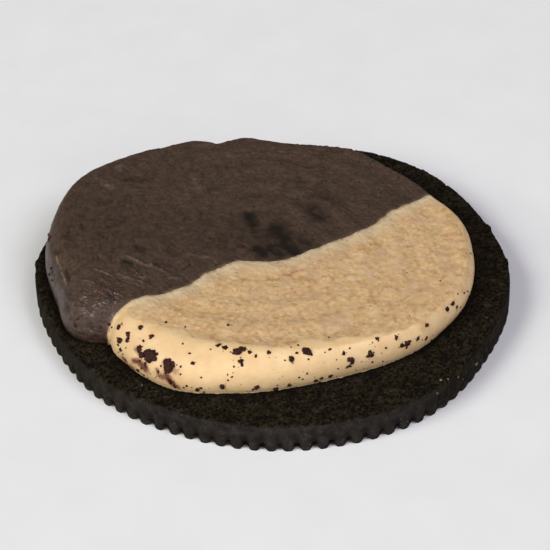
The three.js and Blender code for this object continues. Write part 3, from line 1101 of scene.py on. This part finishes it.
def cocoa_creme_colour(finish, blotch_and_shade):
    """Grey brown, more mottled on the torn top than at the side, with the marks seen on it, some of them
    painted shade and painted highlight.
    """
    mottle = finish.patches(1.0, 0.36, 0.64)
    fine = finish.patches(0.3, 0.35, 0.65)
    top = finish.mix(mottle, (41, 30, 20), (67, 52, 40))
    top = finish.over(top, finish.patches(2.2, 0.45, 0.65, detail=3.0), 0.5, (68, 50, 43))
    top = finish.over(top, fine, 0.65, (88, 71, 57))
    side = finish.mix(mottle, (50, 38, 31), (72, 56, 47))
    colour = finish.mix(finish.attribute("torn"), side, top)
    welt = finish.product(finish.attribute("welt"), fine)
    # Paler on raised welts, partly as painted highlight on their crests.
    colour = finish.over(colour, welt, 0.7, (118, 98, 88))
    colour = finish.mix(finish.attribute("mixing"), colour, (118, 94, 72))
    colour = finish.over(colour, finish.attribute("wrinkled"), 0.6, (68, 47, 38))
    # Dark blotches: partly the creme's own dark patches, partly painted shade in its holes and crevices.
    colour = finish.mix(blotch_and_shade, colour, (20, 13, 6))
    return finish.mix(finish.patchy("streak", 0.3), colour, (122, 98, 80))


def cocoa_creme_finish():
    """Satin at the smooth side, duller on the torn top and in its pits, and wet in patches
    on the crumpled lobe."""
    finish = Finish("chocolate_creme", Specular_IOR_Level=0.3, Specular_Tint=(1.0, 0.88, 0.78, 1.0),
                    Coat_Roughness=0.1)
    blotch_and_shade = finish.patchy("blotch_and_shade", 0.6, 0.5, 1.35)
    wrinkled = finish.attribute("wrinkled")
    finish.set("Base Color", cocoa_creme_colour(finish, blotch_and_shade))
    rough = finish.ramp(finish.attribute("torn"), 0.0, 1.0, 0.36, 0.7)
    rough = finish.combine("MAXIMUM", rough, finish.product(blotch_and_shade, 0.9))
    rough = finish.combine("MAXIMUM", rough, finish.product(wrinkled, 0.8))
    finish.set("Roughness", rough)
    finish.set("Coat Weight", finish.product(wrinkled, finish.patches(0.8, 0.4, 0.6)))
    finish.bump(finish.noise(0.5, 1.5, 0.5), 0.6, "Coat Normal")
    finish.bump(finish.noise(0.14, 4.0, 0.6), 0.04)
    return finish.material


def nut_creme_colour(finish, torn):
    """Tan, with paler, rusty and pinkish patches on the torn top, and cocoa smeared over it."""
    mottle = finish.patches(1.4, 0.32, 0.68, detail=3.0)
    top = finish.mix(mottle, (184, 144, 92), (204, 170, 120))
    top = finish.over(top, finish.patches(0.45, 0.35, 0.68), 0.6, (228, 200, 156))
    top = finish.over(top, finish.patches(0.8, 0.54, 0.7), 0.7, (176, 124, 72))
    top = finish.over(top, finish.patches(1.8, 0.5, 0.68), 0.5, (190, 158, 128))
    top = finish.mix(finish.attribute("pale"), top, (202, 184, 148))
    side = finish.mix(mottle, (224, 188, 136), (232, 202, 152))
    colour = finish.mix(torn, side, top)
    flecks = finish.product(finish.specks(0.62, 0.3, 0.55), torn)
    colour = finish.over(colour, flecks, 0.5, (150, 98, 62))
    colour = finish.mix(finish.attribute("mixing"), colour, (120, 92, 68))
    colour = finish.over(colour, finish.attribute("smear"), 0.75, (180, 132, 104))
    return finish.mix(finish.patchy("smear", 0.2, 0.95, 1.45), colour, (102, 54, 38))


def nut_creme_finish():
    """Slightly translucent fat creme, satin at the side and duller on the torn top."""
    finish = Finish("peanut_butter_creme", Specular_IOR_Level=0.35, Subsurface_Weight=0.25,
                    Subsurface_Scale=0.6 * MM, Subsurface_Radius=(1.0, 0.6, 0.35))
    torn = finish.attribute("torn")
    finish.set("Base Color", nut_creme_colour(finish, torn))
    finish.set("Roughness", finish.ramp(torn, 0.0, 1.0, 0.42, 0.6))
    finish.bump(finish.noise(0.22, 4.0, 0.6), 0.035)
    return finish.material


def crumb_finish(name, dark, light, rough):
    finish = Finish(name, Roughness=rough, Specular_IOR_Level=0.12)
    patches = finish.patches(0.18, 0.3, 0.7, detail=3.0)
    finish.set("Base Color", finish.mix(patches, dark, light))
    finish.bump(finish.noise(0.08, 3.0), 0.03)
    return finish.material


# The stage.

def add_table():
    """A pale, flat table top."""
    finish = Finish("table", Roughness=0.6, Specular_IOR_Level=0.2)
    tint = finish.patches(6.0, 0.3, 0.7, detail=2.0)
    finish.set("Base Color", finish.mix(tint, (232, 232, 230), (235, 235, 233)))
    mesh = bpy.data.meshes.new("table")
    sides = ((-1, -1), (1, -1), (1, 1), (-1, 1))
    corners = [(x * TABLE_HALF, y * TABLE_HALF, 0) for x, y in sides]
    mesh.from_pydata(corners, [], [(0, 1, 2, 3)])
    mesh.materials.append(finish.material)
    table = bpy.data.objects.new("table", mesh)
    bpy.context.scene.collection.objects.link(table)


def add_light(name, azimuth, elevation, size, power, colour):
    """A square soft light that faces the biscuit. Azimuth 0 is in front, 90 on the right."""
    data = bpy.data.lights.new(name, "AREA")
    data.shape = "SQUARE"
    data.size = size
    data.energy = power
    data.color = colour
    a, e = azimuth * DEGREE, elevation * DEGREE
    away = Vector((math.sin(a) * math.cos(e), -math.cos(a) * math.cos(e), math.sin(e)))
    light = bpy.data.objects.new(name, data)
    bpy.context.scene.collection.objects.link(light)
    light.location = away * LIGHT_DISTANCE
    light.rotation_mode = "QUATERNION"
    light.rotation_quaternion = away.to_track_quat("Z", "Y")


def add_lights():
    for light in LIGHTS:
        add_light(*light)
    world = bpy.data.worlds.new("room")
    world.use_nodes = True
    sky = world.node_tree.nodes["Background"]
    sky.inputs["Color"].default_value = (*ROOM_COLOUR, 1)
    sky.inputs["Strength"].default_value = ROOM_STRENGTH
    bpy.context.scene.world = world
    bpy.context.scene.view_settings.view_transform = "Standard"


# Putting it together.

def settle(piece, slot, *nodes):
    """Rides a piece on the body and hides the CAD nodes it stands for; its slot is not used."""
    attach(piece, "root")
    if nodes:
        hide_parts(*nodes)


def build_wafer():
    points, faces = wafer_shape()
    masks = wafer_masks(points)
    relief = wafer_relief(points, masks)
    points = points + surface_normals(points, faces) * relief[:, None]
    points[:, 2] = np.maximum(points[:, 2], 0)
    piece = make_mesh("baked_wafer", points, faces, wafer_finish(), masks)
    settle(piece, "cocoa_wafer", "wafer")
    return points, faces


def creme_masks(half):
    patches = 0.5 + 0.5 * roughness(half.points[:len(half.torn)], 0.5, 91, 2)
    mixing = bell(half.from_border, MIXED_WIDTH) * patches
    return {"torn": half.padded(half.torn), "mixing": half.padded(mixing)}


def build_creme():
    """Both halves, with the marks seen on them."""
    cocoa = creme_half(BORDER_END - 360, COCOA_ROWS, cocoa_relief)
    nut = creme_half(BORDER_END, NUT_ROWS, nut_relief)
    tree = tree_of(*join([(cocoa.points, cocoa.faces), (nut.points, nut.faces)]))
    blotches_and_shade = marked(cocoa.points, SEEN_BLOTCHES_AND_SHADE, tree)
    streak = marked(cocoa.points, SEEN_STREAK, tree)
    smears = marked(nut.points, SEEN_SMEARS, tree)
    pale = PALE_STRENGTH * nut.padded(bell(nut.from_border, PALE_WIDTH))
    dents = BLOTCH_DEPTH * blotches_and_shade * cocoa.padded(smoothstep(0, BORDER_FADE, cocoa.from_border))
    cocoa.points -= surface_normals(cocoa.points, cocoa.faces) * dents[:, None]
    welts = np.clip(gouged(cocoa.points) / PALEST_WELT, 0, 1) * cocoa.padded(cocoa.torn)
    cocoa_masks = creme_masks(cocoa) | {
        "blotch_and_shade": blotches_and_shade, "streak": streak, "welt": welts, "wrinkled": wrinkled(cocoa.points),
    }
    nut_masks = creme_masks(nut) | {"smear": smears, "pale": pale}
    cocoa_piece = make_mesh("cocoa_creme", cocoa.points, cocoa.faces, cocoa_creme_finish(),
                            cocoa_masks, cocoa.hidden_from)
    nut_piece = make_mesh("nut_creme", nut.points, nut.faces, nut_creme_finish(),
                          nut_masks, nut.hidden_from)
    settle(cocoa_piece, "chocolate_creme", "creme_chocolate")
    settle(nut_piece, "peanut_butter_creme", "creme_peanut_butter")
    return [(cocoa.points, cocoa.faces), (nut.points, nut.faces)]


def build_crumbs(tree):
    oily = crumb_finish("oily_crumb", (14, 9, 11), (78, 45, 34), 0.8)
    dry = crumb_finish("dry_crumb", (16, 13, 9), (42, 34, 26), 0.9)
    pale = crumb_finish("pale_crumb", (84, 76, 72), (136, 122, 116), 0.7)
    for name, (points, faces), finish in (
        ("crumbs_on_creme", crumbs_on_creme(tree), oily),
        ("crumbs_on_wafer", crumbs_on_wafer(tree), dry),
        ("pale_specks", pale_specks(tree), pale),
    ):
        settle(make_mesh(name, points, faces, finish), "cocoa_wafer")


add_camera()
add_table()
add_lights()
build_crumbs(tree_of(*join([build_wafer(), *build_creme()])))
